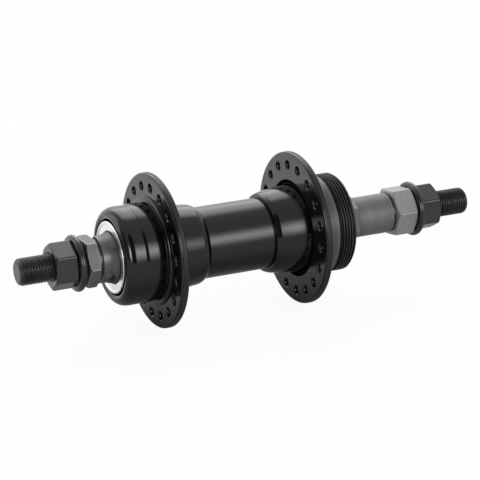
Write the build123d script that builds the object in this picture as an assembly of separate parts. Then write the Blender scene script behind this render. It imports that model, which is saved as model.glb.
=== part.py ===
from build123d import *
from math import cos, radians, sin
import os

# Rear freewheel hub, in millimetres. The axle lies along Y, with the left side at +Y and the
# freewheel side at -Y. X is forward, Z is up, and the origin is on the axis midway between the
# outer faces of the locknuts.

# Axle and its thread, 3/8 inch by 26 threads an inch
axle_length = 172.0
axle_radius = 4.75
axle_root_radius = 4.2
axle_pitch = 25.4 / 26
axle_plain_radius = 4.15
axle_end_chamfer = 1.5
axle_thread_length = 34.0
axle_neck_length = 1.0
bore_radius = 4.8

# Thread ridges: shares of the pitch where the crest ends, the root begins and ends, and the
# next crest begins
ridge_shares = (0.06, 0.44, 0.56, 0.94)

# Width over locknuts, and the standing pieces along the axle
over_locknuts = 126.0
locknut_flats = 16.0
left_locknut_length = 4.5
right_locknut_length = 8.2
lock_washer_length = 0.8
left_lock_washer_radius = 7.5
right_lock_washer_radius = 6.9
spacer_radius = 7.1
spacer_end = -40.2
left_locknut_corner = 1.0
right_locknut_corner = 49.5
locknut_bevel = 0.9
hexagon_face_margin = 0.4
tube_edge_round = 0.25

# Cones
collar_radius = 8.5
cone_body_radius = 8.3
cone_body_start = 54.9
cone_flare_radius = 8.85
cone_flare_start = 51.6
cone_flare_end = 52.3
cone_flats = 14.1
cone_flat_turn = 228.0
cone_flat_cutter_radius = 4.6
cone_flat_cutter_middle = 57.0
cone_nose_length = 2.4
cone_nose_chamfer = 0.5
right_cone_flats = 15.0
right_cone_corner = 18.0
right_cone_bevel = 0.6
right_cone_hex_start = -34.4

# Bearings: nine quarter-inch balls a side
ball_radius = 3.175
ball_count = 9
ball_circle_radius = 9.9
race_clearance = 0.05
left_ball_plane = 45.0
right_ball_plane = -27.0
cup_radius = 14.98
cup_inboard = 4.0
cup_outboard = 4.5
cup_lip_radius = 11.4
cup_mouth_radius = ball_circle_radius + ball_radius + race_clearance
retainer_outer_radius = 12.9
retainer_inner_radius = 10.6
retainer_start = 1.0
retainer_end = 2.4
pocket_clearance = 0.12

# Shell
barrel_radius = 12.53
barrel_bore_radius = 8.0
seat_radius = 12.55
web_bore_radius = 8.5
cup_seat_radius = 15.0
flange_radius = 27.05
flange_thickness = 2.8
flange_edge_round = 0.8
left_flange_middle = 35.9
right_flange_middle = -18.0
left_seat_end = 33.0
right_seat_end = -14.0
seat_gap = 0.05

# Left shoulder, raised ring, neck and drum
left_shoulder_end = 20.7
left_shoulder_end_radius = 13.2
left_shoulder_knee = (14.0, 22.2)
left_shoulder_knee_round = 5.0
left_shoulder_radius = 15.3
shoulder_fillet = 2.2
ring_radius = 18.95
ring_face = 38.6
ring_edge_round = 1.1
neck_radius = 16.0
neck_fillet = 0.5
drum_radius = 17.13
drum_start = 39.3
drum_start_round = 0.9
drum_seam = 44.65
seam_round = 0.2
nose_face = 52.5
nose_opening_radius = 12.97
nose_round = 3.0
nose_lip_round = 1.1

# Right shoulder, collar and freewheel thread, 1.37 inch by 24 threads an inch
right_shoulder_end = -4.2
right_shoulder_end_radius = 13.1
right_shoulder_knee = (14.6, -6.3)
right_shoulder_knee_round = 8.0
right_shoulder_radius = 15.1
freewheel_collar_radius = 17.45
freewheel_collar_end = -27.5
freewheel_collar_fillet = 0.5
freewheel_radius = 17.4
freewheel_depth = 0.62
freewheel_pitch = 25.4 / 24
freewheel_lead_in = 0.05
freewheel_end = -33.5

# Spoke holes
spoke_circle_radius = 22.5
spoke_hole_radius = 1.3
spoke_hole_count = 18
spoke_countersink = 0.45
left_spoke_turn = 10.0
right_spoke_turn = 0.0

# Dust shields and seals
shield_radius = 12.4
shield_hole_radius = 9.2
shield_sheet = 0.7
shield_curl = 0.55
shield_curl_inner_round = 0.3
shield_curl_outer_round = 0.5
shield_rim_width = 0.9
left_shield_reach = 7.2
right_shield_reach = 6.2
shield_skirt_length = 1.5
shield_skirt_sheet = 0.6
shield_press_gap = 0.02
seal_radius = 11.2
seal_length = 1.2
seal_reach = 4.0

# Axle nuts with captive washers
nut_flats = 15.0
nut_length = 7.75
left_nut_corner = 22.5
right_nut_corner = 28.0
nut_corner_round = 0.8
nut_inner_bevel = 0.5
nut_outer_bevel = 0.9
nut_mouth_chamfer = 0.6
nut_base_gap = 0.1
nut_neck_radius = 6.5
nut_lip_radius = 7.2
nut_lip_start = 0.3
nut_lip_end = 1.3
left_washer_face = 63.9
right_washer_face = 63.15
washer_length = 2.5
washer_radius = 9.8
washer_rim_round = 1.2
washer_recess_gap = 0.2
washer_recess_depth = 1.5
running_gap = 0.05

# How far a cutting solid reaches past the face it cuts
overcut = 1.0


def turned(outline, rounds=()):
    """Solid of revolution about Y from (radius, y) points, with some corners rounded."""
    face = make_face(Polyline(*outline, close=True))
    for corner, radius in rounds:
        vertex = face.vertices().sort_by_distance((corner[0], corner[1], 0))[0]
        face = fillet(vertex, radius)
    return revolve(face, Axis.Y)


def tube(outer, inner, start, end, edge=0.0):
    """Plain ring about Y, with its outer corners rounded by edge."""
    outline = [(inner, start), (outer, start), (outer, end), (inner, end)]
    rounds = [((outer, start), edge), ((outer, end), edge)] if edge else []
    return turned(outline, rounds)


def ridges(start, end, crest, pitch, depth):
    """Points of a row of thread ridges from start to end, in either direction along Y."""
    step = pitch if end > start else -pitch
    radii = (crest, crest - depth, crest - depth, crest)
    points = []
    for turn in range(int(abs(end - start) / pitch)):
        foot = start + turn * step
        points += [(radius, foot + share * step) for radius, share in zip(radii, ridge_shares)]
    return points


def around(radius, y, turn):
    """Place on a circle about Y, at a turn in degrees measured from +X towards +Z."""
    return Vector(radius * cos(radians(turn)), y, radius * sin(radians(turn)))


def hexagon(flats, start, end, corner, start_bevel, end_bevel, corner_round=0.0):
    """Hexagonal block along Y, turned so that one corner is at the given angle.

    A bevel is the length over which the corners are turned away at that end, and corner_round
    rounds the six long edges."""
    half_flats = flats / 2
    corner_radius = half_flats / cos(radians(30))
    plane = Plane(origin=(0, start, 0), x_dir=(1, 0, 0), z_dir=(0, 1, 0))
    sketch = RegularPolygon(corner_radius, 6, rotation=-corner)
    if corner_round:
        sketch = fillet(sketch.vertices(), corner_round)
    block = extrude(plane * sketch, end - start)
    over = corner_radius + hexagon_face_margin
    face_radius = half_flats - hexagon_face_margin
    outline = [(0, start), (0, end)]
    if end_bevel:
        outline += [(face_radius, end), (over, end - end_bevel)]
    else:
        outline += [(over, end)]
    if start_bevel:
        outline += [(over, start + start_bevel), (face_radius, start)]
    else:
        outline += [(over, start)]
    return block & turned(outline)


def bore(radius, start, end):
    """Cylinder along Y that is cut from a piece, long enough to pass through both faces."""
    low = start - overcut
    high = end + overcut
    return turned([(0, low), (radius, low), (radius, high), (0, high)])


def ball_places(plane):
    return [around(ball_circle_radius, plane, 360 / ball_count * n) for n in range(ball_count)]


def ball_ring(y, radius):
    """Ring of space that the balls sweep at a race."""
    return Pos(0, y, 0) * Rot(90, 0, 0) * Torus(ball_circle_radius, radius)


def make_axle():
    half = axle_length / 2
    depth = axle_radius - axle_root_radius
    left_start = half - axle_thread_length
    left = ridges(left_start, half - axle_end_chamfer, axle_radius, axle_pitch, depth)
    right = [(radius, -y) for radius, y in reversed(left)]
    tip = axle_radius - axle_end_chamfer
    outline = [(0, -half), (tip, -half), (axle_radius, axle_end_chamfer - half)]
    outline += right
    outline += [(axle_radius, -left_start), (axle_plain_radius, axle_neck_length - left_start)]
    outline += [(axle_plain_radius, left_start - axle_neck_length), (axle_radius, left_start)]
    outline += left
    outline += [(axle_radius, half - axle_end_chamfer), (tip, half), (0, half)]
    return turned(outline)


def spoke_holes(middle, first_turn):
    """Eighteen drilled and countersunk holes through a flange, as solids to cut away."""
    half = flange_thickness / 2
    sink_floor = half - spoke_countersink
    reach = half + overcut
    flare = spoke_hole_radius + spoke_countersink + overcut
    drill = turned(
        [
            (0, -reach),
            (flare, -reach),
            (spoke_hole_radius, -sink_floor),
            (spoke_hole_radius, sink_floor),
            (flare, reach),
            (0, reach),
        ]
    )
    step = 360 / spoke_hole_count
    turns = [first_turn + number * step for number in range(spoke_hole_count)]
    return [Pos(around(spoke_circle_radius, middle, turn)) * drill for turn in turns]


def make_left_flange():
    inner_face = left_flange_middle - flange_thickness / 2
    outer_face = left_flange_middle + flange_thickness / 2
    cup_floor = left_ball_plane - cup_inboard
    body = turned(
        [
            (seat_radius, left_shoulder_end),
            (left_shoulder_end_radius, left_shoulder_end),
            left_shoulder_knee,
            (left_shoulder_radius, inner_face),
            (flange_radius, inner_face),
            (flange_radius, outer_face),
            (ring_radius, outer_face),
            (ring_radius, ring_face),
            (neck_radius, ring_face),
            (neck_radius, drum_start),
            (drum_radius, drum_start),
            (drum_radius, drum_seam),
            (cup_seat_radius, drum_seam),
            (cup_seat_radius, cup_floor),
            (web_bore_radius, cup_floor),
            (web_bore_radius, left_seat_end),
            (seat_radius, left_seat_end),
        ],
        [
            (left_shoulder_knee, left_shoulder_knee_round),
            ((left_shoulder_radius, inner_face), shoulder_fillet),
            ((flange_radius, inner_face), flange_edge_round),
            ((flange_radius, outer_face), flange_edge_round),
            ((ring_radius, ring_face), ring_edge_round),
            ((neck_radius, ring_face), neck_fillet),
            ((drum_radius, drum_start), drum_start_round),
            ((drum_radius, drum_seam), seam_round),
        ],
    )
    return body - spoke_holes(left_flange_middle, left_spoke_turn)


def make_right_flange():
    inner_face = right_flange_middle + flange_thickness / 2
    outer_face = right_flange_middle - flange_thickness / 2
    cup_floor = right_ball_plane + cup_inboard
    thread_start = freewheel_collar_end - freewheel_lead_in
    thread = ridges(
        thread_start, freewheel_end, freewheel_radius, freewheel_pitch, freewheel_depth
    )
    outline = [
        (seat_radius, right_shoulder_end),
        (right_shoulder_end_radius, right_shoulder_end),
        right_shoulder_knee,
        (right_shoulder_radius, inner_face),
        (flange_radius, inner_face),
        (flange_radius, outer_face),
        (freewheel_collar_radius, outer_face),
        (freewheel_collar_radius, freewheel_collar_end),
    ]
    outline += thread
    outline += [
        (freewheel_radius - freewheel_depth, freewheel_end),
        (cup_seat_radius, freewheel_end),
        (cup_seat_radius, cup_floor),
        (web_bore_radius, cup_floor),
        (web_bore_radius, right_seat_end),
        (seat_radius, right_seat_end),
    ]
    body = turned(
        outline,
        [
            (right_shoulder_knee, right_shoulder_knee_round),
            ((right_shoulder_radius, inner_face), shoulder_fillet),
            ((flange_radius, inner_face), flange_edge_round),
            ((flange_radius, outer_face), flange_edge_round),
            ((freewheel_collar_radius, outer_face), freewheel_collar_fillet),
        ],
    )
    return body - spoke_holes(right_flange_middle, right_spoke_turn)


def make_barrel():
    return tube(
        barrel_radius, barrel_bore_radius, right_seat_end + seat_gap, left_seat_end - seat_gap
    )


def make_end_cap():
    cup_end = left_ball_plane + cup_outboard + seat_gap
    return turned(
        [
            (cup_seat_radius, drum_seam),
            (drum_radius, drum_seam),
            (drum_radius, nose_face),
            (nose_opening_radius, nose_face),
            (nose_opening_radius, cup_end),
            (cup_seat_radius, cup_end),
        ],
        [
            ((drum_radius, drum_seam), seam_round),
            ((drum_radius, nose_face), nose_round),
            ((nose_opening_radius, nose_face), nose_lip_round),
        ],
    )


def make_cup(plane, side):
    """Bearing cup whose mouth looks outboard: side is 1 on the left and -1 on the right."""
    inboard = plane - side * cup_inboard
    outboard = plane + side * cup_outboard
    ring = turned(
        [
            (cup_lip_radius, inboard),
            (cup_radius, inboard),
            (cup_radius, outboard),
            (cup_mouth_radius, outboard),
            (cup_mouth_radius, plane),
            (cup_lip_radius, plane),
        ]
    )
    return ring - ball_ring(plane, ball_radius + race_clearance)


def make_balls(plane):
    return [Pos(place) * Sphere(ball_radius) for place in ball_places(plane)]


def make_retainer(plane, side):
    """Pressed cage on the outboard side of the balls, with a pocket for each."""
    start = plane + side * retainer_start
    end = plane + side * retainer_end
    ring = tube(retainer_outer_radius, retainer_inner_radius, start, end)
    pocket = Sphere(ball_radius + pocket_clearance)
    return ring - [Pos(place) * pocket for place in ball_places(plane)]


def make_shield(plane, side, reach):
    """Pressed cover in the mouth of the cup: a flat ring with a curled rim and a skirt."""
    face = plane + side * reach
    back = face - side * shield_sheet
    skirt_top = plane + side * cup_outboard
    skirt_foot = skirt_top - side * shield_skirt_length
    skirt_radius = cup_mouth_radius - shield_press_gap
    rim = shield_radius - shield_rim_width
    crest = face + side * shield_curl
    return turned(
        [
            (shield_hole_radius, back),
            (shield_hole_radius, face),
            (rim, face),
            (rim, crest),
            (shield_radius, crest),
            (shield_radius, skirt_top),
            (skirt_radius, skirt_top),
            (skirt_radius, skirt_foot),
            (shield_radius - shield_skirt_sheet, skirt_foot),
            (shield_radius - shield_skirt_sheet, back),
        ],
        [
            ((rim, crest), shield_curl_inner_round),
            ((shield_radius, crest), shield_curl_outer_round),
        ],
    )


def cone_nose(plane, side, end):
    """Race and collar of a cone, from its inboard nose out to the given end."""
    nose_radius = ball_circle_radius - ball_radius - race_clearance
    tip = plane - side * cone_nose_length
    blank = turned(
        [
            (bore_radius, tip),
            (nose_radius - cone_nose_chamfer, tip),
            (nose_radius, tip + side * cone_nose_chamfer),
            (nose_radius, plane),
            (collar_radius, plane),
            (collar_radius, end),
            (bore_radius, end),
        ]
    )
    return blank - ball_ring(plane, ball_radius + race_clearance)


def make_left_cone(end):
    """Cone with a flared collar and two wrench flats, whose inner ends are round."""
    body = turned(
        [
            (bore_radius, cone_flare_start),
            (collar_radius, cone_flare_start),
            (cone_flare_radius, cone_flare_end),
            (cone_body_radius, cone_body_start),
            (cone_body_radius, end),
            (bore_radius, end),
        ],
        [((cone_body_radius, end), tube_edge_round)],
    )
    away = cone_body_radius
    open_length = end + overcut - cone_flat_cutter_middle
    open_end = Pos(0, open_length / 2, 0) * Box(away, open_length, 2 * cone_flat_cutter_radius)
    cutter = Cylinder(cone_flat_cutter_radius, away, rotation=(0, 90, 0)) + open_end
    for turn in (cone_flat_turn, cone_flat_turn + 180):
        place = Pos(cone_flats / 2 + away / 2, cone_flat_cutter_middle, 0)
        body -= Rot(0, -turn, 0) * place * cutter
    return cone_nose(left_ball_plane, 1, cone_flare_start) + body


def make_right_cone():
    hexagonal = hexagon(
        right_cone_flats,
        spacer_end,
        right_cone_hex_start,
        right_cone_corner,
        right_cone_bevel,
        right_cone_bevel,
    )
    hexagonal -= bore(bore_radius, spacer_end, right_cone_hex_start)
    return cone_nose(right_ball_plane, -1, right_cone_hex_start) + hexagonal


def make_seal(plane, side):
    start = plane + side * seal_reach
    return tube(seal_radius, collar_radius, start, start + side * seal_length)


def make_nut(seat, corner, side):
    """Hexagon nut with a neck and a spun lip that hold the washer captive.

    The seat is how far the washer's face is from the middle of the hub."""
    base = seat + washer_length + nut_base_gap
    outer_face = base + nut_length
    lip_start = seat + nut_lip_start
    lip_end = seat + nut_lip_end
    mouth = outer_face - nut_mouth_chamfer
    block = hexagon(
        nut_flats, base, outer_face, corner, nut_inner_bevel, nut_outer_bevel, nut_corner_round
    )
    neck = turned(
        [
            (0, lip_start),
            (nut_lip_radius, lip_start),
            (nut_lip_radius, lip_end),
            (nut_neck_radius, lip_end),
            (nut_neck_radius, base),
            (0, base),
        ]
    )
    mouth_cut = turned(
        [
            (0, mouth),
            (bore_radius, mouth),
            (bore_radius + nut_mouth_chamfer, outer_face),
            (0, outer_face),
        ]
    )
    nut = block + neck - bore(bore_radius, lip_start, outer_face) - mouth_cut
    return nut if side == 1 else mirror(nut, Plane.XZ)


def make_nut_washer(seat, side):
    """Thick washer with a fully rounded rim, recessed underneath for the lip of the nut."""
    top = seat + washer_length
    recess_top = seat + washer_recess_depth
    recess_radius = nut_lip_radius + washer_recess_gap
    hole_radius = nut_neck_radius + running_gap
    washer = turned(
        [
            (recess_radius, seat),
            (washer_radius, seat),
            (washer_radius, top),
            (hole_radius, top),
            (hole_radius, recess_top),
            (recess_radius, recess_top),
        ],
        [((washer_radius, seat), washer_rim_round), ((washer_radius, top), washer_rim_round)],
    )
    return washer if side == 1 else mirror(washer, Plane.XZ)


def make_locknut(start, end, corner):
    block = hexagon(locknut_flats, start, end, corner, locknut_bevel, locknut_bevel)
    return block - bore(bore_radius, start, end)


def save(name, solids):
    """Writes one piece, or a group of alike pieces, under its own name."""
    shape = Compound(children=solids) if isinstance(solids, list) else solids
    export_step(shape, f"parts/{name}.step")


os.makedirs("parts", exist_ok=True)
half_width = over_locknuts / 2
left_locknut_start = half_width - left_locknut_length
right_locknut_start = right_locknut_length - half_width
left_cone_end = left_locknut_start - lock_washer_length
spacer_outer_end = right_locknut_start + lock_washer_length

save("axle", make_axle())
save("shell_barrel", make_barrel())
save("shell_left_flange", make_left_flange())
save("shell_right_flange", make_right_flange())
save("left_end_cap", make_end_cap())
for name, plane, side in (("left", left_ball_plane, 1), ("right", right_ball_plane, -1)):
    save(f"{name}_bearing_cup", make_cup(plane, side))
    save(f"{name}_bearing_balls", make_balls(plane))
    save(f"{name}_ball_retainer", make_retainer(plane, side))
    save(f"{name}_dust_seal", make_seal(plane, side))
save("left_dust_shield", make_shield(left_ball_plane, 1, left_shield_reach))
save("right_dust_shield", make_shield(right_ball_plane, -1, right_shield_reach))
save("left_axle_nut", make_nut(left_washer_face, left_nut_corner, 1))
save("right_axle_nut", make_nut(right_washer_face, right_nut_corner, -1))
save("left_nut_washer", make_nut_washer(left_washer_face, 1))
save("right_nut_washer", make_nut_washer(right_washer_face, -1))
save("left_cone", make_left_cone(left_cone_end))
save("right_cone", make_right_cone())
save(
    "right_spacer",
    tube(spacer_radius, bore_radius, spacer_outer_end, spacer_end, tube_edge_round),
)
save(
    "left_lock_washer",
    tube(left_lock_washer_radius, bore_radius, left_cone_end, left_locknut_start),
)
save(
    "right_lock_washer",
    tube(right_lock_washer_radius, bore_radius, right_locknut_start, spacer_outer_end),
)
save("left_locknut", make_locknut(left_locknut_start, half_width, left_locknut_corner))
save("right_locknut", make_locknut(-half_width, right_locknut_start, right_locknut_corner))
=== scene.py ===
import math

import bmesh
import bpy
from mathutils import Matrix, Vector


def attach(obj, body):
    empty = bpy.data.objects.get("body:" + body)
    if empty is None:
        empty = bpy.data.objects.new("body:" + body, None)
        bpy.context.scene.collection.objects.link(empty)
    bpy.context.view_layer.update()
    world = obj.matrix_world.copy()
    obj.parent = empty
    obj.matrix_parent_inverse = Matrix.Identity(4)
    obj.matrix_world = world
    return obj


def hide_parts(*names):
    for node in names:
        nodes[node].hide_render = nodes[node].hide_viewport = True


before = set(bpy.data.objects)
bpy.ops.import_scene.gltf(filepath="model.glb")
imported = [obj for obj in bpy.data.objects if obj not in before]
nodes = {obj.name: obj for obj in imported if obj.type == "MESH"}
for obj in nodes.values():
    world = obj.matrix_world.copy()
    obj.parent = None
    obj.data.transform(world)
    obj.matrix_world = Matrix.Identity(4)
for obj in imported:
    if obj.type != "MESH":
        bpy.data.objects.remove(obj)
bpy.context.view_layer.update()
mm = 0.001
near = 1e-6  # metres within which two points count as one
overcut = 1  # millimetres by which a cutting shape stands past the one it meets
fullTurn = 2 * math.pi
flangeSegments = 180
barSegments = 120
print("frame loaded:", len(nodes), "nodes")


# Mesh tools. Profiles are lists of (radius, y) in millimetres, turned about the axle.

def turnProfile(profile, segments, rounds=(), closed=True):
    bm = bmesh.new()
    points = [bm.verts.new((radius * mm, y * mm, 0)) for radius, y in profile]
    edges = [bm.edges.new(pair) for pair in zip(points, points[1:])]
    if closed:
        edges.append(bm.edges.new((points[-1], points[0])))
    bmesh.ops.spin(bm, geom=points + edges, cent=(0, 0, 0), axis=(0, 1, 0), dvec=(0, 0, 0),
                   angle=fullTurn, steps=segments, use_merge=True, use_duplicate=False)
    bmesh.ops.remove_doubles(bm, verts=bm.verts, dist=1e-7)
    bmesh.ops.recalc_face_normals(bm, faces=bm.faces)
    for radius, y, size, steps in rounds:
        bmesh.ops.bevel(bm, geom=ringEdges(bm, radius, y), offset=size * mm, segments=steps,
                        profile=0.5, affect="EDGES", material=-1)
    return bm


def arcPoints(centre, size, first, last, steps):  # quarter ellipses and circles as profile points
    points = []
    for step in range(steps + 1):
        turn = math.radians(first + (last - first) * step / steps)
        points.append((centre[0] + size[0] * math.cos(turn), centre[1] + size[1] * math.sin(turn)))
    return points


def ringEdges(bm, radius, y):  # edges of the circle at that radius and height
    def onRing(vert):
        return (abs(vert.co.y - y * mm) < near
                and abs(math.hypot(vert.co.x, vert.co.z) - radius * mm) < near)
    return [edge for edge in bm.edges if all(onRing(vert) for vert in edge.verts)]


def openRing(bm, y):  # boundary edges in the plane at y
    return [edge for edge in bm.edges
            if edge.is_boundary and all(abs(vert.co.y - y * mm) < near for vert in edge.verts)]


def cutThread(thread, segments):  # right-hand helical strip between two planes, open at both ends
    strip = bmesh.new()
    pitch = thread["pitch"]
    first = thread["start"] - 2 * pitch
    turns = math.ceil((thread["end"] - thread["start"]) / pitch) + 4
    points = []
    for share, deep in thread["shape"]:
        radius = thread["crest"] - thread["depth"] * deep
        points.append(strip.verts.new((radius * mm, (first + share * pitch) * mm, 0)))
    edges = [strip.edges.new(pair) for pair in zip(points, points[1:])]
    bmesh.ops.spin(strip, geom=points + edges, cent=(0, 0, 0), axis=(0, 1, 0), angle=fullTurn,
                   steps=segments, dvec=(0, pitch * mm / segments, 0), use_merge=False,
                   use_duplicate=False)
    oneTurn = bpy.data.meshes.new("oneTurn")
    strip.to_mesh(oneTurn)
    strip.free()
    bm = bmesh.new()
    for number in range(turns):
        bm.from_mesh(oneTurn)
        oneTurn.transform(Matrix.Translation((0, pitch * mm, 0)))
    bpy.data.meshes.remove(oneTurn)
    bmesh.ops.remove_doubles(bm, verts=bm.verts, dist=near)
    for y, low in ((thread["start"], True), (thread["end"], False)):
        bmesh.ops.bisect_plane(bm, geom=bm.verts[:] + bm.edges[:] + bm.faces[:], dist=1e-8,
                               plane_co=(0, y * mm, 0), plane_no=(0, 1, 0),
                               clear_inner=low, clear_outer=not low)
    for vert in bm.verts:  # chamfers and reliefs turned over the ridges
        radius = math.hypot(vert.co.x, vert.co.z)
        share = min(1, thread["limit"](vert.co.y / mm) * mm / radius)
        vert.co.x *= share
        vert.co.z *= share
    return bm


def joinMeshes(*parts):
    bm = bmesh.new()
    for part in parts:
        mesh = bpy.data.meshes.new("part")
        part.to_mesh(mesh)
        part.free()
        bm.from_mesh(mesh)
        bpy.data.meshes.remove(mesh)
    return bm


def looseObject(bm, name):
    mesh = bpy.data.meshes.new(name)
    bm.to_mesh(mesh)
    bm.free()
    piece = bpy.data.objects.new(name, mesh)
    bpy.context.scene.collection.objects.link(piece)
    return piece


def combine(bm, tool, operation):  # boolean of two closed shells
    body = looseObject(bm, "body")
    cutter = looseObject(tool, "cutter")
    step = body.modifiers.new("cut", "BOOLEAN")
    step.operation = operation
    step.solver = "EXACT"
    step.object = cutter
    graph = bpy.context.evaluated_depsgraph_get()
    mesh = bpy.data.meshes.new_from_object(body.evaluated_get(graph))
    result = bmesh.new()
    result.from_mesh(mesh)
    bpy.data.objects.remove(body)
    bpy.data.objects.remove(cutter)
    bpy.data.meshes.remove(mesh)
    bmesh.ops.remove_doubles(result, verts=result.verts, dist=1e-7)
    return result


def turnPart(bm, turn):  # about the axle, from +X towards +Z
    bmesh.ops.rotate(bm, verts=bm.verts, cent=(0, 0, 0),
                     matrix=Matrix.Rotation(-math.radians(turn), 3, "Y"))


def softenEdges(bm, width, steps, sharper=20, material=1):  # small bevels that catch the light
    sharp = [edge for edge in bm.edges
             if edge.is_manifold and math.degrees(edge.calc_face_angle(0)) > sharper]
    made = bmesh.ops.bevel(bm, geom=sharp, offset=width * mm, segments=steps, profile=0.5,
                           affect="EDGES", material=-1, clamp_overlap=True)
    for face in made["faces"]:
        face.material_index = material


# Hexagonal bar along Y, with a corner at that angle from +X towards +Z
def hexBlock(flats, start, end, corner, cornerRound=0):
    across = flats / 2 / math.cos(math.radians(30))
    bm = turnProfile([(0, start), (across, start), (across, end), (0, end)], 6, closed=False)
    if cornerRound:
        length = (end - start) * mm
        long = [edge for edge in bm.edges
                if abs(edge.verts[0].co.y - edge.verts[1].co.y) > 0.9 * length]
        bmesh.ops.bevel(bm, geom=long, offset=cornerRound * math.tan(math.radians(30)) * mm,
                        segments=5, profile=0.5, affect="EDGES", material=-1)
    turnPart(bm, corner)
    return bm


def addPiece(bm, name, materials, body, node, sharpAngle=30):
    piece = looseObject(bm, name)
    for material in materials:
        piece.data.materials.append(material)
    piece.data.polygons.foreach_set("use_smooth", [True] * len(piece.data.polygons))
    piece.data.set_sharp_from_angle(angle=math.radians(sharpAngle))
    shading = piece.modifiers.new("evenShading", "WEIGHTED_NORMAL")
    shading.keep_sharp = True
    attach(piece, body)
    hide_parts(node)
    return piece


# Shared effects

grain = {
    "lines": 9000.0, "bands": 900.0, "clouds": 120.0, "grit": 9000.0,
    "darkAt": 0.3, "lightAt": 0.7, "lineShare": 0.5, "bumpDistance": 0.00001,
}


def effectGroup(name, inputs, outputs):
    group = bpy.data.node_groups.new(name, "ShaderNodeTree")
    for label, value in inputs:
        socket = group.interface.new_socket(name=label, in_out="INPUT",
                                            socket_type="NodeSocketFloat")
        socket.default_value = value
    for label in outputs:
        group.interface.new_socket(name=label, in_out="OUTPUT", socket_type="NodeSocketFloat")
    return group, group.nodes.new("NodeGroupInput"), group.nodes.new("NodeGroupOutput")


def addNode(tree, kind, settings=None, **values):
    node = tree.nodes.new(kind)
    for key, value in (settings or {}).items():
        setattr(node, key, value)
    for key, value in values.items():
        node.inputs[key.replace("_", " ")].default_value = value
    return node


def mathNode(tree, operation, first, second=None):
    node = tree.nodes.new("ShaderNodeMath")
    node.operation = operation
    for index, value in enumerate((first, second)):
        if value is None:
            continue
        if isinstance(value, (int, float)):
            node.inputs[index].default_value = value
        else:
            tree.links.new(value, node.inputs[index])
    return node.outputs[0]


def makeTurningMarks():  # fine lines left by the lathe, the same all round the axle
    tree, entry, leave = effectGroup(
        "turningMarks", [("Lines", grain["lines"]), ("Bands", grain["bands"])], ["Line", "Band"])
    place = addNode(tree, "ShaderNodeTexCoord")
    split = addNode(tree, "ShaderNodeSeparateXYZ")
    tree.links.new(place.outputs["Object"], split.inputs[0])
    squares = [mathNode(tree, "MULTIPLY", split.outputs[name], split.outputs[name])
               for name in ("X", "Z")]
    radius = mathNode(tree, "SQRT", mathNode(tree, "ADD", *squares))
    for source, target in (("Lines", "Line"), ("Bands", "Band")):
        flat = addNode(tree, "ShaderNodeCombineXYZ")
        for value, name in ((radius, "X"), (split.outputs["Y"], "Y")):
            scaled = mathNode(tree, "MULTIPLY", value, entry.outputs[source])
            tree.links.new(scaled, flat.inputs[name])
        noise = addNode(tree, "ShaderNodeTexNoise", {"noise_dimensions": "2D"},
                        Scale=1.0, Detail=2.0)
        tree.links.new(flat.outputs[0], noise.inputs["Vector"])
        tree.links.new(noise.outputs["Fac"], leave.inputs[target])
    return tree


def makeMottle():  # cloudy variation of a coating, and fine grit
    tree, entry, leave = effectGroup(
        "coatingMottle", [("Clouds", grain["clouds"]), ("Grit", grain["grit"])], ["Cloud", "Grit"])
    place = addNode(tree, "ShaderNodeTexCoord")
    for source, target, detail in (("Clouds", "Cloud", 4.0), ("Grit", "Grit", 2.0)):
        noise = addNode(tree, "ShaderNodeTexNoise", Detail=detail)
        tree.links.new(place.outputs["Object"], noise.inputs["Vector"])
        tree.links.new(entry.outputs[source], noise.inputs["Scale"])
        tree.links.new(noise.outputs["Fac"], leave.inputs[target])
    return tree


turningMarks = makeTurningMarks()
coatingMottle = makeMottle()


def metalFinish(name, look):
    material = bpy.data.materials.new(name)
    material.use_nodes = True
    tree = material.node_tree
    shader = tree.nodes["Principled BSDF"]
    shader.inputs["Metallic"].default_value = look["metallic"]
    shader.inputs["IOR"].default_value = look.get("ior", 1.5)
    marks = addNode(tree, "ShaderNodeGroup", {"node_tree": turningMarks},
                    Lines=grain["lines"], Bands=grain["bands"])
    mottle = addNode(tree, "ShaderNodeGroup", {"node_tree": coatingMottle},
                     Clouds=grain["clouds"], Grit=grain["grit"])
    spread = mathNode(tree, "ADD",
                      mathNode(tree, "MULTIPLY", marks.outputs["Band"], look["bandTone"]),
                      mathNode(tree, "MULTIPLY", mottle.outputs["Cloud"], 1 - look["bandTone"]))
    ramp = addNode(tree, "ShaderNodeValToRGB")
    ends = ((grain["darkAt"], look["dark"]), (grain["lightAt"], look["light"]))
    for element, (position, colour) in zip(ramp.color_ramp.elements, ends):
        element.position = position
        element.color = (*colour, 1)
    tree.links.new(spread, ramp.inputs["Fac"])
    tree.links.new(ramp.outputs["Color"], shader.inputs["Base Color"])
    low, high = look["roughness"]
    lineShare = grain["lineShare"]
    texture = mathNode(tree, "ADD",
                       mathNode(tree, "MULTIPLY", marks.outputs["Line"], lineShare),
                       mathNode(tree, "MULTIPLY", mottle.outputs["Cloud"], 1 - lineShare))
    roughness = mathNode(tree, "ADD", mathNode(tree, "MULTIPLY", texture, high - low), low)
    tree.links.new(roughness, shader.inputs["Roughness"])
    height = mathNode(tree, "ADD",
                      mathNode(tree, "MULTIPLY", marks.outputs["Line"], look["lineBump"]),
                      mathNode(tree, "MULTIPLY", mottle.outputs["Grit"], look["gritBump"]))
    bump = addNode(tree, "ShaderNodeBump", Strength=1.0, Distance=grain["bumpDistance"])
    tree.links.new(height, bump.inputs["Height"])
    tree.links.new(bump.outputs["Normal"], shader.inputs["Normal"])
    return material


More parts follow.
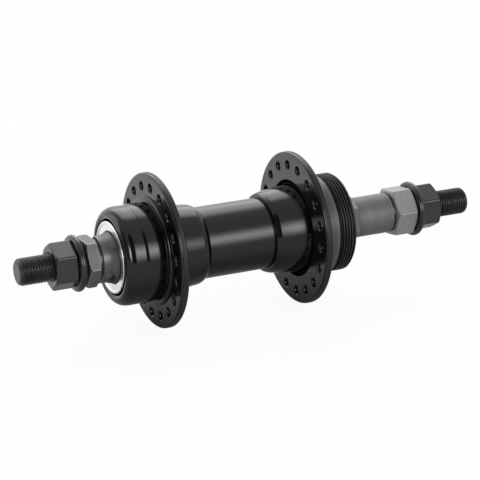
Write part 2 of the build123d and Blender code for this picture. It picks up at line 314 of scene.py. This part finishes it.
shellBlack = metalFinish("shellBlack", {
    "metallic": 0.0, "ior": 1.5, "dark": (0.001, 0.001, 0.0011), "light": (0.0025, 0.0025, 0.0028),
    "roughness": (0.08, 0.14), "bandTone": 0.5, "lineBump": 0.06, "gritBump": 0.05,
})
barrelBlack = metalFinish("barrelBlack", {
    "metallic": 0.0, "ior": 1.5, "dark": (0.001, 0.001, 0.0011), "light": (0.003, 0.003, 0.0033),
    "roughness": (0.16, 0.24), "bandTone": 0.5, "lineBump": 0.1, "gritBump": 0.16,
})
rimBlack = metalFinish("rimBlack", {
    "metallic": 0.0, "ior": 1.45, "dark": (0.003, 0.003, 0.0032), "light": (0.007, 0.007, 0.0075),
    "roughness": (0.42, 0.55), "bandTone": 0.6, "lineBump": 0.25, "gritBump": 0.3,
})
collarBlack = metalFinish("collarBlack", {
    "metallic": 0.0, "ior": 1.5, "dark": (0.052, 0.052, 0.055), "light": (0.085, 0.084, 0.088),
    "roughness": (0.34, 0.44), "bandTone": 0.8, "lineBump": 0.4, "gritBump": 0.1,
})
blackOxide = metalFinish("blackOxide", {
    "metallic": 0.0, "ior": 1.63, "dark": (0.003, 0.003, 0.0036), "light": (0.009, 0.009, 0.0105),
    "roughness": (0.2, 0.28), "bandTone": 0.2, "lineBump": 0.1, "gritBump": 0.3,
})
# Lighter finish for the axle nuts' bevelled edges: painted highlight along the edges, also standing
# for edge wear
oxideEdgeWearAndGlint = metalFinish("oxideEdgeWearAndGlint", {
    "metallic": 0.3, "dark": (0.02, 0.02, 0.02), "light": (0.06, 0.06, 0.058),
    "roughness": (0.24, 0.34), "bandTone": 0.2, "lineBump": 0.1, "gritBump": 0.3,
})
threadBlack = metalFinish("threadBlack", {
    "metallic": 0.5, "dark": (0.02, 0.019, 0.018), "light": (0.05, 0.047, 0.045),
    "roughness": (0.25, 0.38), "bandTone": 0.2, "lineBump": 0.05, "gritBump": 0.3,
})
darkLocknutSteel = metalFinish("darkLocknutSteel", {
    "metallic": 0.7, "dark": (0.125, 0.122, 0.12), "light": (0.175, 0.172, 0.168),
    "roughness": (0.45, 0.56), "bandTone": 0.4, "lineBump": 0.3, "gritBump": 0.5,
})
locknutSteel = metalFinish("locknutSteel", {
    "metallic": 0.7, "dark": (0.25, 0.25, 0.25), "light": (0.33, 0.33, 0.328),
    "roughness": (0.45, 0.56), "bandTone": 0.4, "lineBump": 0.3, "gritBump": 0.5,
})
# Lighter finish for the locknuts' bevelled edges: painted highlight along the edges, also standing
# for edge wear
locknutEdgeWearAndGlint = metalFinish("locknutEdgeWearAndGlint", {
    "metallic": 0.8, "dark": (0.24, 0.24, 0.24), "light": (0.36, 0.36, 0.358),
    "roughness": (0.35, 0.48), "bandTone": 0.2, "lineBump": 0.2, "gritBump": 0.3,
})
grooveBlack = metalFinish("grooveBlack", {
    "metallic": 0.0, "ior": 1.35, "dark": (0.003, 0.003, 0.0032), "light": (0.008, 0.0075, 0.0075),
    "roughness": (0.34, 0.44), "bandTone": 0.6, "lineBump": 0.1, "gritBump": 0.1,
})
# Matte near-black for faces that lie in shade: painted shade in the flange recess and at the
# shields' seats
paintedShadeBlack = metalFinish("paintedShadeBlack", {
    "metallic": 0.0, "ior": 1.1, "dark": (0.001, 0.001, 0.001), "light": (0.002, 0.002, 0.002),
    "roughness": (0.6, 0.8), "bandTone": 0.5, "lineBump": 0.1, "gritBump": 0.3,
})
coneSteel = metalFinish("coneSteel", {
    "metallic": 0.7, "dark": (0.085, 0.081, 0.078), "light": (0.135, 0.13, 0.125),
    "roughness": (0.28, 0.4), "bandTone": 0.7, "lineBump": 0.4, "gritBump": 0.2,
})
spacerSteel = metalFinish("spacerSteel", {
    "metallic": 0.7, "dark": (0.13, 0.125, 0.122), "light": (0.18, 0.174, 0.17),
    "roughness": (0.5, 0.62), "bandTone": 0.5, "lineBump": 0.4, "gritBump": 0.4,
})
zincShield = metalFinish("zincShield", {
    "metallic": 1.0, "dark": (0.82, 0.83, 0.86), "light": (0.87, 0.88, 0.9),
    "roughness": (0.2, 0.27), "bandTone": 0.6, "lineBump": 0.1, "gritBump": 0.05,
})
ballSteel = metalFinish("ballSteel", {
    "metallic": 1.0, "dark": (0.6, 0.6, 0.62), "light": (0.66, 0.66, 0.67),
    "roughness": (0.05, 0.1), "bandTone": 0.1, "lineBump": 0.0, "gritBump": 0.05,
})
raceSteel = metalFinish("raceSteel", {
    "metallic": 1.0, "dark": (0.4, 0.4, 0.4), "light": (0.5, 0.5, 0.5),
    "roughness": (0.2, 0.35), "bandTone": 0.8, "lineBump": 0.3, "gritBump": 0.1,
})
sealRubber = metalFinish("sealRubber", {
    "metallic": 0.0, "dark": (0.01, 0.01, 0.01), "light": (0.02, 0.02, 0.02),
    "roughness": (0.6, 0.75), "bandTone": 0.1, "lineBump": 0.0, "gritBump": 0.8,
})
print("finishes made:", len(bpy.data.materials))


# Spoke holes, with a countersink on each side

spokeHoles = {
    "count": 18, "circle": 22.5, "radius": 1.35, "sink": 0.55, "sinkRound": 0.3,
    "half": 1.4, "reach": 2.4, "segments": 32,
}


def spokeDrills(middle, firstTurn):
    hole = spokeHoles
    sinkFoot = hole["half"] - hole["sink"]
    flare = hole["radius"] + hole["sink"] + hole["reach"] - hole["half"]
    profile = [(0, -hole["reach"]), (flare, -hole["reach"]), (hole["radius"], -sinkFoot),
               (hole["radius"], sinkFoot), (flare, hole["reach"]), (0, hole["reach"])]
    rounds = [(hole["radius"], y, hole["sinkRound"], 3) for y in (-sinkFoot, sinkFoot)]
    drills = []
    for number in range(hole["count"]):
        turn = math.radians(firstTurn + number * 360 / hole["count"])
        drill = turnProfile(profile, hole["segments"], rounds, closed=False)
        place = (hole["circle"] * math.cos(turn) * mm, middle * mm,
                 hole["circle"] * math.sin(turn) * mm)
        bmesh.ops.translate(drill, verts=drill.verts, vec=place)
        drills.append(drill)
    return joinMeshes(*drills)


flangeRim = {"from": 26.9, "half": 0.7}


def faceSpot(face):  # radius and height of a face's middle, in metres
    centre = face.calc_center_median()
    return math.hypot(centre.x, centre.z), centre.y


def markRim(bm, middle, index):  # the band round the outside of a flange keeps a duller finish
    for face in bm.faces:
        radius, y = faceSpot(face)
        if abs(y - middle * mm) < flangeRim["half"] * mm and radius > flangeRim["from"] * mm:
            face.material_index = index


# Left end of the shell: shoulder, drilled flange, raised ring, neck and drum

leftFlange = {
    "profile": [(12.55, 20.7), (13.2, 20.7), (14.0, 22.2), (15.3, 34.5), (27.05, 34.5),
                (27.05, 37.3), (19.05, 37.3), (19.05, 38.3), (17.6, 38.3), (17.6, 38.55),
                (16.4, 38.55), (16.4, 39.3), (17.13, 39.3), (17.13, 44.3), (17.07, 44.65),
                (15.0, 44.65), (15.0, 41.0), (8.5, 41.0), (8.5, 33.0), (12.55, 33.0)],
    "rounds": [(13.2, 20.7, 0.15, 3), (14.0, 22.2, 0.8, 5), (15.3, 34.5, 2.2, 8),
               (27.05, 34.5, 0.8, 5), (27.05, 37.3, 0.8, 5), (19.05, 38.3, 0.85, 7),
               (17.6, 38.55, 0.15, 3), (17.13, 39.3, 0.35, 4)],
    "middle": 35.9, "holeTurn": 10.0,
}
bm = turnProfile(leftFlange["profile"], flangeSegments, leftFlange["rounds"])
bm = combine(bm, spokeDrills(leftFlange["middle"], leftFlange["holeTurn"]), "DIFFERENCE")
markRim(bm, leftFlange["middle"], 1)
addPiece(bm, "leftFlangeBody", [shellBlack, rimBlack], "hub_shell", "shell_left_flange")

# Right end of the shell: shoulder, drilled flange, smooth collar and freewheel thread

rightFlange = {
    "profile": [(15.0, -33.5), (15.0, -23.0), (8.5, -23.0), (8.5, -14.0), (12.55, -14.0),
                (12.55, -4.2), (13.1, -4.2), (13.75, -4.35), (14.35, -5.7), (14.85, -9.5),
                (15.02, -11.5), (15.23, -13.5), (15.51, -15.5), (15.7, -16.6),
                (17.3, -18.2), (17.3, -16.6), (27.05, -16.6), (27.05, -19.4), (17.45, -19.4),
                (17.45, -26.8)],
    "rounds": [(14.35, -5.7, 0.4, 4), (27.05, -16.6, 0.8, 5),
               (27.05, -19.4, 0.8, 5), (17.45, -19.4, 0.5, 3)],
    "middle": -18.0, "holeTurn": 0.0, "machinedFrom": -19.45, "machinedRadius": 17.6,
    "crestFrom": 17.3, "recess": {"middle": -17.4, "half": 1.0, "inside": 15.7, "outside": 17.35},
}
freewheelThread = {
    "start": -33.5, "end": -26.8, "crest": 17.4, "depth": 0.62, "pitch": 25.4 / 24,
    "shape": [(0, 0.1), (0.05, 0), (0.13, 0), (0.18, 0.1), (0.26, 0.35), (0.45, 0.93),
              (0.52, 1), (0.66, 1), (0.73, 0.93), (0.92, 0.35), (1, 0.1)],
    "reliefRadius": 16.78, "reliefEnd": -27.3, "leadRadius": 16.85,
}


def freewheelLimit(y):  # radius left by the relief beside the collar and by the lead-in chamfer
    thread = freewheelThread
    return min(thread["reliefRadius"] + max(0, thread["reliefEnd"] - y),
               thread["leadRadius"] + (y - thread["start"]))


bm = turnProfile(rightFlange["profile"], flangeSegments, rightFlange["rounds"], closed=False)
bm = joinMeshes(bm, cutThread({**freewheelThread, "limit": freewheelLimit}, flangeSegments))
for y in (freewheelThread["start"], freewheelThread["end"]):
    bmesh.ops.bridge_loops(bm, edges=openRing(bm, y))
bmesh.ops.recalc_face_normals(bm, faces=bm.faces)
bm = combine(bm, spokeDrills(rightFlange["middle"], rightFlange["holeTurn"]), "DIFFERENCE")
recess = rightFlange["recess"]
for face in bm.faces:
    radius, y = faceSpot(face)
    if y < rightFlange["machinedFrom"] * mm and radius < rightFlange["machinedRadius"] * mm:
        # The collar keeps its own grey finish. The thread crests take the same lighter grey as a
        # painted highlight against the dark grooves
        collarOrCrestHighlight = y > freewheelThread["end"] * mm or radius > rightFlange["crestFrom"] * mm
        face.material_index = 1 if collarOrCrestHighlight else 3
    # faces inside the recess beside the shoulder take the matte black: painted shade
    elif (abs(y - recess["middle"] * mm) < recess["half"] * mm
          and recess["inside"] * mm < radius < recess["outside"] * mm):
        face.material_index = 4
markRim(bm, rightFlange["middle"], 2)
addPiece(bm, "rightFlangeBody", [shellBlack, collarBlack, rimBlack, grooveBlack, paintedShadeBlack],
         "hub_shell", "shell_right_flange")

# Centre tube and the rounded end cap

centreTube = {
    "profile": [(8.0, -13.95), (12.53, -13.95), (12.53, 20.15), (11.3, 20.15), (11.3, 20.75),
                (12.53, 20.75), (12.53, 32.95), (8.0, 32.95)],
}
addPiece(turnProfile(centreTube["profile"], barSegments), "centreTube", [barrelBlack],
         "hub_shell", "shell_barrel")

endCap = {
    "profile": [(15.0, 44.65), (17.07, 44.65), (16.84, 45.5), (17.13, 45.62),
                *arcPoints((14.4, 48.7), (2.73, 3.8), 0, 90, 18),
                *arcPoints((14.4, 51.1), (1.43, 1.4), 95, 180, 9), (12.97, 49.55), (15.0, 49.55)],
}
addPiece(turnProfile(endCap["profile"], flangeSegments), "endCap", [shellBlack],
         "hub_shell", "left_end_cap")

# Pressed dust shields with a curled rim

dustShield = {
    "profile": [(9.2, -0.7), (9.2, 0), (11.5, 0), (11.75, 0.4), (12.6, 0.4), (12.6, -1.7),
                (13.105, -1.7), (13.105, -3.2), (11.8, -3.2), (11.8, -0.7)],
    "rounds": [(9.2, 0, 0.2, 3), (11.5, 0, 0.3, 4), (11.75, 0.4, 0.15, 3), (12.6, 0.4, 0.4, 5)],
    "left": {"face": 52.2, "facing": 1}, "right": {"face": -33.2, "facing": -1},
    "seatFrom": 12.58,
}
for side in ("left", "right"):
    level, facing = dustShield[side]["face"], dustShield[side]["facing"]
    profile = [(radius, level + facing * y) for radius, y in dustShield["profile"]]
    rounds = [(radius, level + facing * y, size, steps)
              for radius, y, size, steps in dustShield["rounds"]]
    bm = turnProfile(profile, barSegments, rounds)
    for face in bm.faces:  # the pressed seat is painted matte black: painted shade in the gap round the rim
        face.material_index = int(faceSpot(face)[0] > dustShield["seatFrom"] * mm)
    addPiece(bm, side + "DustShield", [zincShield, paintedShadeBlack], "hub_shell",
             side + "_dust_shield")
print("shell modelled")

# Threaded axle: two helical threads joined by a plain middle

axle = {
    "half": 86.0, "plainEnd": 52.0, "plainRadius": 4.15, "tipRadius": 3.2, "domeLength": 1.5,
    "crest": 4.75, "depth": 0.6, "pitch": 25.4 / 26,
    "shape": [(0, 0.12), (0.06, 0), (0.14, 0), (0.2, 0.12), (0.46, 0.92), (0.54, 1), (0.66, 1),
              (0.74, 0.92), (1, 0.12)],
    "segments": 64,
}


def axleThread(start, end, limit):
    return cutThread({**axle, "start": start, "end": end, "limit": limit}, axle["segments"])


def leftLimit(y):  # radius left by the turned relief at the inner end and by the domed tip
    height = max(0, 1 - (axle["half"] - y) / axle["domeLength"])
    domeWidth = axle["crest"] - axle["tipRadius"]
    dome = axle["tipRadius"] + domeWidth * math.sqrt(max(0, 1 - height * height))
    return min(axle["plainRadius"] + y - axle["plainEnd"], dome)


bm = joinMeshes(axleThread(axle["plainEnd"], axle["half"], leftLimit),
                axleThread(-axle["half"], -axle["plainEnd"], lambda y: leftLimit(-y)))
bmesh.ops.bridge_loops(bm, edges=openRing(bm, axle["plainEnd"]) + openRing(bm, -axle["plainEnd"]))
for y in (axle["half"], -axle["half"]):
    bmesh.ops.edgeloop_fill(bm, edges=openRing(bm, y))
bmesh.ops.recalc_face_normals(bm, faces=bm.faces)
addPiece(bm, "threadedAxle", [threadBlack], "axle_set", "axle")

# Cones

leftCone = {
    "profile": [(4.8, 42.6), (6.175, 42.6), (6.675, 43.1), (6.7, 45.0), (8.5, 47.2), (8.5, 51.6),
                (9.0, 52.3), (8.3, 54.9), (8.3, 57.7), (4.8, 57.7)],
    "rounds": [(9.0, 52.3, 0.15, 3), (8.3, 54.9, 1.2, 4), (8.3, 57.7, 0.25, 3)],
    "flats": 14.1, "flatTurn": 228.0, "edge": 0.12,
    "cutter": 4.6, "cutterMiddle": 57.0, "cutterEnd": 60.0, "thick": 6.0,
}


def flatCutter(turn):  # slot with a half-round end, standing on the flat
    cone = leftCone
    reach, middle, radius = cone["flats"] / 2, cone["cutterMiddle"], cone["cutter"]
    outline = [(radius, cone["cutterEnd"] - middle),
               *arcPoints((0, 0), (radius, radius), 0, -180, 24),
               (-radius, cone["cutterEnd"] - middle)]
    cutter = bmesh.new()
    corners = [cutter.verts.new((reach * mm, (middle + up) * mm, across * mm))
               for across, up in outline]
    face = cutter.faces.new(corners)
    moved = bmesh.ops.extrude_face_region(cutter, geom=[face])["geom"]
    topVerts = [item for item in moved if isinstance(item, bmesh.types.BMVert)]
    bmesh.ops.translate(cutter, verts=topVerts, vec=(cone["thick"] * mm, 0, 0))
    bmesh.ops.recalc_face_normals(cutter, faces=cutter.faces)
    turnPart(cutter, turn)
    return cutter


bm = turnProfile(leftCone["profile"], barSegments, leftCone["rounds"])
for turn in (leftCone["flatTurn"], leftCone["flatTurn"] + 180):
    bm = combine(bm, flatCutter(turn), "DIFFERENCE")
softenEdges(bm, leftCone["edge"], 2, sharper=30, material=0)
addPiece(bm, "leftCone", [coneSteel], "axle_set", "left_cone")

rightCone = {
    "profile": [(4.8, -24.6), (6.175, -24.6), (6.675, -25.1), (6.7, -27.0), (8.5, -29.2),
                (8.5, -34.4), (4.8, -34.4)],
    "flats": 15.0, "corner": 18.0, "start": -40.2, "end": -34.4,
    "envelope": [(4.8, -40.2), (7.1, -40.2), (9.06, -39.6), (9.06, -35.0), (7.1, -34.4),
                 (4.8, -34.4)],
    "edge": 0.15,
}
block = hexBlock(rightCone["flats"], rightCone["start"] - overcut, rightCone["end"] + overcut,
                 rightCone["corner"])
bm = combine(block, turnProfile(rightCone["envelope"], barSegments), "INTERSECT")
softenEdges(bm, rightCone["edge"], 2, material=0)
bm = joinMeshes(bm, turnProfile(rightCone["profile"], barSegments))
addPiece(bm, "rightCone", [coneSteel], "axle_set", "right_cone")

rightSpacer = {"profile": [(4.8, -54.0), (7.1, -54.0), (7.1, -40.2), (4.8, -40.2)],
               "rounds": [(7.1, -54.0, 0.25, 3), (7.1, -40.2, 0.25, 3)]}
bm = turnProfile(rightSpacer["profile"], barSegments, rightSpacer["rounds"])
addPiece(bm, "rightSpacer", [spacerSteel], "axle_set", "right_spacer")

# Locknuts

locknuts = {
    "flats": 16.0, "bore": 4.8, "faceRadius": 7.6, "outside": 9.64, "bevel": 0.9, "edge": 0.2,
    "left": {"start": 58.5, "end": 63.0, "corner": 1.0},
    "right": {"start": -63.0, "end": -54.8, "corner": 49.5},
}
for side in ("left", "right"):
    nut = locknuts[side]
    envelope = [(locknuts["bore"], nut["start"]), (locknuts["faceRadius"], nut["start"]),
                (locknuts["outside"], nut["start"] + locknuts["bevel"]),
                (locknuts["outside"], nut["end"] - locknuts["bevel"]),
                (locknuts["faceRadius"], nut["end"]), (locknuts["bore"], nut["end"])]
    block = hexBlock(locknuts["flats"], nut["start"] - overcut, nut["end"] + overcut, nut["corner"])
    bm = combine(block, turnProfile(envelope, barSegments), "INTERSECT")
    # the bevel faces take the lighter edge finish: painted edge highlight
    softenEdges(bm, locknuts["edge"], 2)
    steel = darkLocknutSteel if side == "left" else locknutSteel
    addPiece(bm, side + "Locknut", [steel, locknutEdgeWearAndGlint], "axle_set", side + "_locknut")

# Axle nuts and their captive washers

axleNuts = {
    "flats": 14.7, "cornerRound": 0.8, "edge": 0.14, "bore": 4.8, "faceRadius": 7.0,
    "outside": 8.8, "innerBevel": 0.5, "outerBevel": 0.9, "mouth": 0.6,
    "neck": 6.5, "lip": 7.2, "lipStart": 0.3, "lipEnd": 1.3,
    "left": {"seat": 63.9, "base": 66.5, "face": 74.25, "corner": 22.5},
    "right": {"seat": 63.05, "base": 65.65, "face": 73.0, "corner": 28.0},
}
nutWashers = {"length": 2.5, "rim": 8.55, "hole": 6.55, "recess": 7.4, "recessDepth": 1.5}


def mirrorAcross(bm):  # the same shape on the other side of the hub
    bmesh.ops.scale(bm, verts=bm.verts, vec=(1, -1, 1))
    bmesh.ops.recalc_face_normals(bm, faces=bm.faces)


for side in ("left", "right"):
    nut, place = axleNuts, axleNuts[side]
    envelope = [(nut["bore"], place["base"]), (nut["faceRadius"], place["base"]),
                (nut["outside"], place["base"] + nut["innerBevel"]),
                (nut["outside"], place["face"] - nut["outerBevel"]),
                (nut["faceRadius"], place["face"]), (nut["bore"] + nut["mouth"], place["face"]),
                (nut["bore"], place["face"] - nut["mouth"])]
    block = hexBlock(nut["flats"], place["base"] - overcut, place["face"] + overcut,
                     place["corner"], nut["cornerRound"])
    bm = combine(block, turnProfile(envelope, barSegments), "INTERSECT")
    # the bevel faces take the lighter edge finish: painted edge highlight
    softenEdges(bm, nut["edge"], 2)
    seat = place["seat"]
    neck = [(nut["bore"], seat + nut["lipStart"]), (nut["lip"], seat + nut["lipStart"]),
            (nut["lip"], seat + nut["lipEnd"]), (nut["neck"], seat + nut["lipEnd"]),
            (nut["neck"], place["base"]), (nut["bore"], place["base"])]
    bm = joinMeshes(bm, turnProfile(neck, barSegments))
    ring = nutWashers
    half = ring["length"] / 2
    washer = turnProfile([(ring["recess"], seat),
                          *arcPoints((ring["rim"], seat + half), (half, half), -90, 90, 16),
                          (ring["hole"], seat + ring["length"]),
                          (ring["hole"], seat + ring["recessDepth"]),
                          (ring["recess"], seat + ring["recessDepth"])], barSegments)
    if side == "right":
        mirrorAcross(bm)
        mirrorAcross(washer)
    addPiece(bm, side + "AxleNut", [blackOxide, oxideEdgeWearAndGlint], side + "_nut",
             side + "_axle_nut")
    addPiece(washer, side + "NutWasher", [blackOxide], side + "_washer",
             side + "_nut_washer")
print("axle set modelled")

# Inner pieces keep their CAD shapes and get finishes

innerFinishes = {
    "bearing_balls": ballSteel, "ball_retainer": raceSteel, "bearing_cup": raceSteel,
    "dust_seal": sealRubber, "lock_washer": blackOxide,
}
for side in ("left", "right"):
    for part, finish in innerFinishes.items():
        for socket in nodes[side + "_" + part].material_slots:
            socket.material = finish
print("inner pieces finished")

# Floor, and a studio of soft boxes held by the world

# The floor's tone for glossy rays and the white shares behind and in front paint a shadow on the
# floor as seen in reflections
stage = {
    "floorSize": 8.0, "floorHeight": -0.0271, "floorTone": 0.85, "reflectedFloorShade": 0.45,
    "cameraShare": 0.93, "shareBehind": 1.0, "shadowedFrontShare": 0.3, "under": 0.015, "away": 0.055,
    "skyStops": [(0.1, 1.1), (0.45, 0.65), (0.8, 0.6)], "skyLeft": 0.2, "leftEdge": (0.6, 0.85),
    "skyGlossyShare": 0.02,
}
# Turn is the angle about the axle from +X up towards +Z, in degrees, and along is the share of +Y
# in the direction
softBoxes = {
    "keyBox": {"turn": (20, 68), "turnEdge": 10, "along": (-0.62, 0.1), "alongEdge": 0.09,
               "radiance": 3.1},
    "darkCard": {"turn": (112, 200), "turnEdge": 8, "along": (-0.1, 0.43), "alongEdge": 0.04,
                 "radiance": 0.05},
    "rightFrontBox": {"turn": (148, 168), "turnEdge": 15, "along": (-0.56, -0.14),
                      "alongEdge": 0.08, "radiance": 6.4},
    "leftFrontBox": {"turn": (142, 170), "turnEdge": 11, "along": (0.5, 0.7), "alongEdge": 0.04,
                     "radiance": 10.0},
    "sideBox": {"turn": (8, 48), "turnEdge": 8, "along": (0.5, 0.88), "alongEdge": 0.08,
                "radiance": 2.0},
}


def rampNode(tree, source, stops):
    ramp = addNode(tree, "ShaderNodeValToRGB")
    elements = ramp.color_ramp.elements
    for index, (position, level) in enumerate(stops):
        element = elements[index] if index < 2 else elements.new(position)
        element.position = position
        element.color = (level,) * 3 + (1,)
    tree.links.new(source, ramp.inputs["Fac"])
    return ramp.outputs["Color"]


def mixColours(tree, share, first, second):
    mix = addNode(tree, "ShaderNodeMix", {"data_type": "RGBA"})
    tree.links.new(share, mix.inputs["Factor"])
    for socket, value in (("A", first), ("B", second)):
        if isinstance(value, tuple):
            mix.inputs[socket].default_value = value
        else:
            tree.links.new(value, mix.inputs[socket])
    return mix.outputs["Result"]


def grey(level):
    return (level,) * 3 + (1,)


def smoothStep(tree, value, start, end):
    step = addNode(tree, "ShaderNodeMapRange", {"interpolation_type": "SMOOTHSTEP"},
                   From_Min=start, From_Max=end)
    tree.links.new(value, step.inputs["Value"])
    return step.outputs["Result"]


def rayKinds(tree):
    rays = addNode(tree, "ShaderNodeLightPath")
    direct = mathNode(tree, "MAXIMUM", rays.outputs["Is Camera Ray"],
                      rays.outputs["Is Transmission Ray"])
    return direct, rays.outputs["Is Glossy Ray"]


bm = bmesh.new()
bmesh.ops.create_grid(bm, x_segments=1, y_segments=1, size=stage["floorSize"] / 2)
bmesh.ops.translate(bm, verts=bm.verts, vec=(0, 0, stage["floorHeight"]))
floor = looseObject(bm, "floor")
floorPaper = bpy.data.materials.new("floorPaper")
floorPaper.use_nodes = True
tree = floorPaper.node_tree
tree.nodes.remove(tree.nodes["Principled BSDF"])
direct, glossy = rayKinds(tree)
paper = addNode(tree, "ShaderNodeBsdfDiffuse")
# Glossy rays see the paper in a darker tone than other rays: painted shade on the floor in
# reflections
tone = mixColours(tree, glossy, grey(stage["floorTone"]), grey(stage["reflectedFloorShade"]))
tree.links.new(tone, paper.inputs["Color"])
white = addNode(tree, "ShaderNodeEmission")
place = addNode(tree, "ShaderNodeTexCoord")
split = addNode(tree, "ShaderNodeSeparateXYZ")
tree.links.new(place.outputs["Object"], split.inputs[0])
# Glossy rays see white only away from the hub, and only a low share of it in front: a painted
# shadow under and in front of the hub in reflections
behind = smoothStep(tree, split.outputs["X"], stage["under"], stage["away"])
front = smoothStep(tree, split.outputs["X"], -stage["under"], -stage["away"])
clear = mathNode(tree, "ADD", mathNode(tree, "MULTIPLY", behind, stage["shareBehind"]),
                 mathNode(tree, "MULTIPLY", front, stage["shadowedFrontShare"]))
blend = addNode(tree, "ShaderNodeMixShader")
tree.links.new(mathNode(tree, "MAXIMUM", mathNode(tree, "MULTIPLY", direct, stage["cameraShare"]),
                        mathNode(tree, "MULTIPLY", glossy, clear)), blend.inputs[0])
tree.links.new(paper.outputs[0], blend.inputs[1])
tree.links.new(white.outputs[0], blend.inputs[2])
tree.links.new(blend.outputs[0], tree.nodes["Material Output"].inputs["Surface"])
floor.data.materials.append(floorPaper)

world = bpy.data.worlds.new("studio")
bpy.context.scene.world = world
world.use_nodes = True
tree = world.node_tree
direct, glossy = rayKinds(tree)
place = addNode(tree, "ShaderNodeTexCoord")
split = addNode(tree, "ShaderNodeSeparateXYZ")
tree.links.new(place.outputs["Generated"], split.inputs[0])
turn = mathNode(tree, "DEGREES", mathNode(tree, "ARCTAN2", split.outputs["Z"], split.outputs["X"]))
sky = rampNode(tree, mathNode(tree, "DIVIDE", turn, 180), stage["skyStops"])
towardsLeft = smoothStep(tree, split.outputs["Y"], *stage["leftEdge"])
sky = mixColours(tree, towardsLeft, sky, grey(stage["skyLeft"]))
for box in softBoxes.values():
    shares = []
    for source, span, edge in ((turn, box["turn"], box["turnEdge"]),
                               (split.outputs["Y"], box["along"], box["alongEdge"])):
        middle, half = (span[0] + span[1]) / 2, (span[1] - span[0]) / 2
        away = mathNode(tree, "ABSOLUTE", mathNode(tree, "SUBTRACT", source, middle))
        shares.append(smoothStep(tree, away, half + edge, half - edge))
    sky = mixColours(tree, mathNode(tree, "MULTIPLY", *shares), sky, grey(box["radiance"]))
background = mathNode(tree, "MAXIMUM", direct,
                      mathNode(tree, "MULTIPLY", glossy, stage["skyGlossyShare"]))
tree.links.new(mixColours(tree, background, sky, grey(1)), tree.nodes["Background"].inputs["Color"])

# Camera at the photograph's place

view = {
    "azimuth": 244.9107, "elevation": 20.5769, "distance": 0.7714, "along": 0.003564,
    "drop": -0.001303, "lens": 165.81, "sensor": 36.0, "clip": (0.05, 50),
}
azimuth, elevation = math.radians(view["azimuth"]), math.radians(view["elevation"])
back = Vector((math.sin(azimuth) * math.cos(elevation), -math.cos(azimuth) * math.cos(elevation),
               math.sin(elevation)))
right = Vector((math.cos(azimuth), math.sin(azimuth), 0))
up = back.cross(right)
cameraData = bpy.data.cameras.new("camera")
cameraData.lens = view["lens"]
cameraData.sensor_width = view["sensor"]
cameraData.clip_start, cameraData.clip_end = view["clip"]
camera = bpy.data.objects.new("camera", cameraData)
camera.location = Vector((0, view["along"], 0)) + up * view["drop"] + back * view["distance"]
camera.rotation_euler = Matrix((right, up, back)).transposed().to_euler()
bpy.context.scene.collection.objects.link(camera)
bpy.context.scene.camera = camera
bpy.context.scene.view_settings.view_transform = "Standard"
print("stage and camera ready")
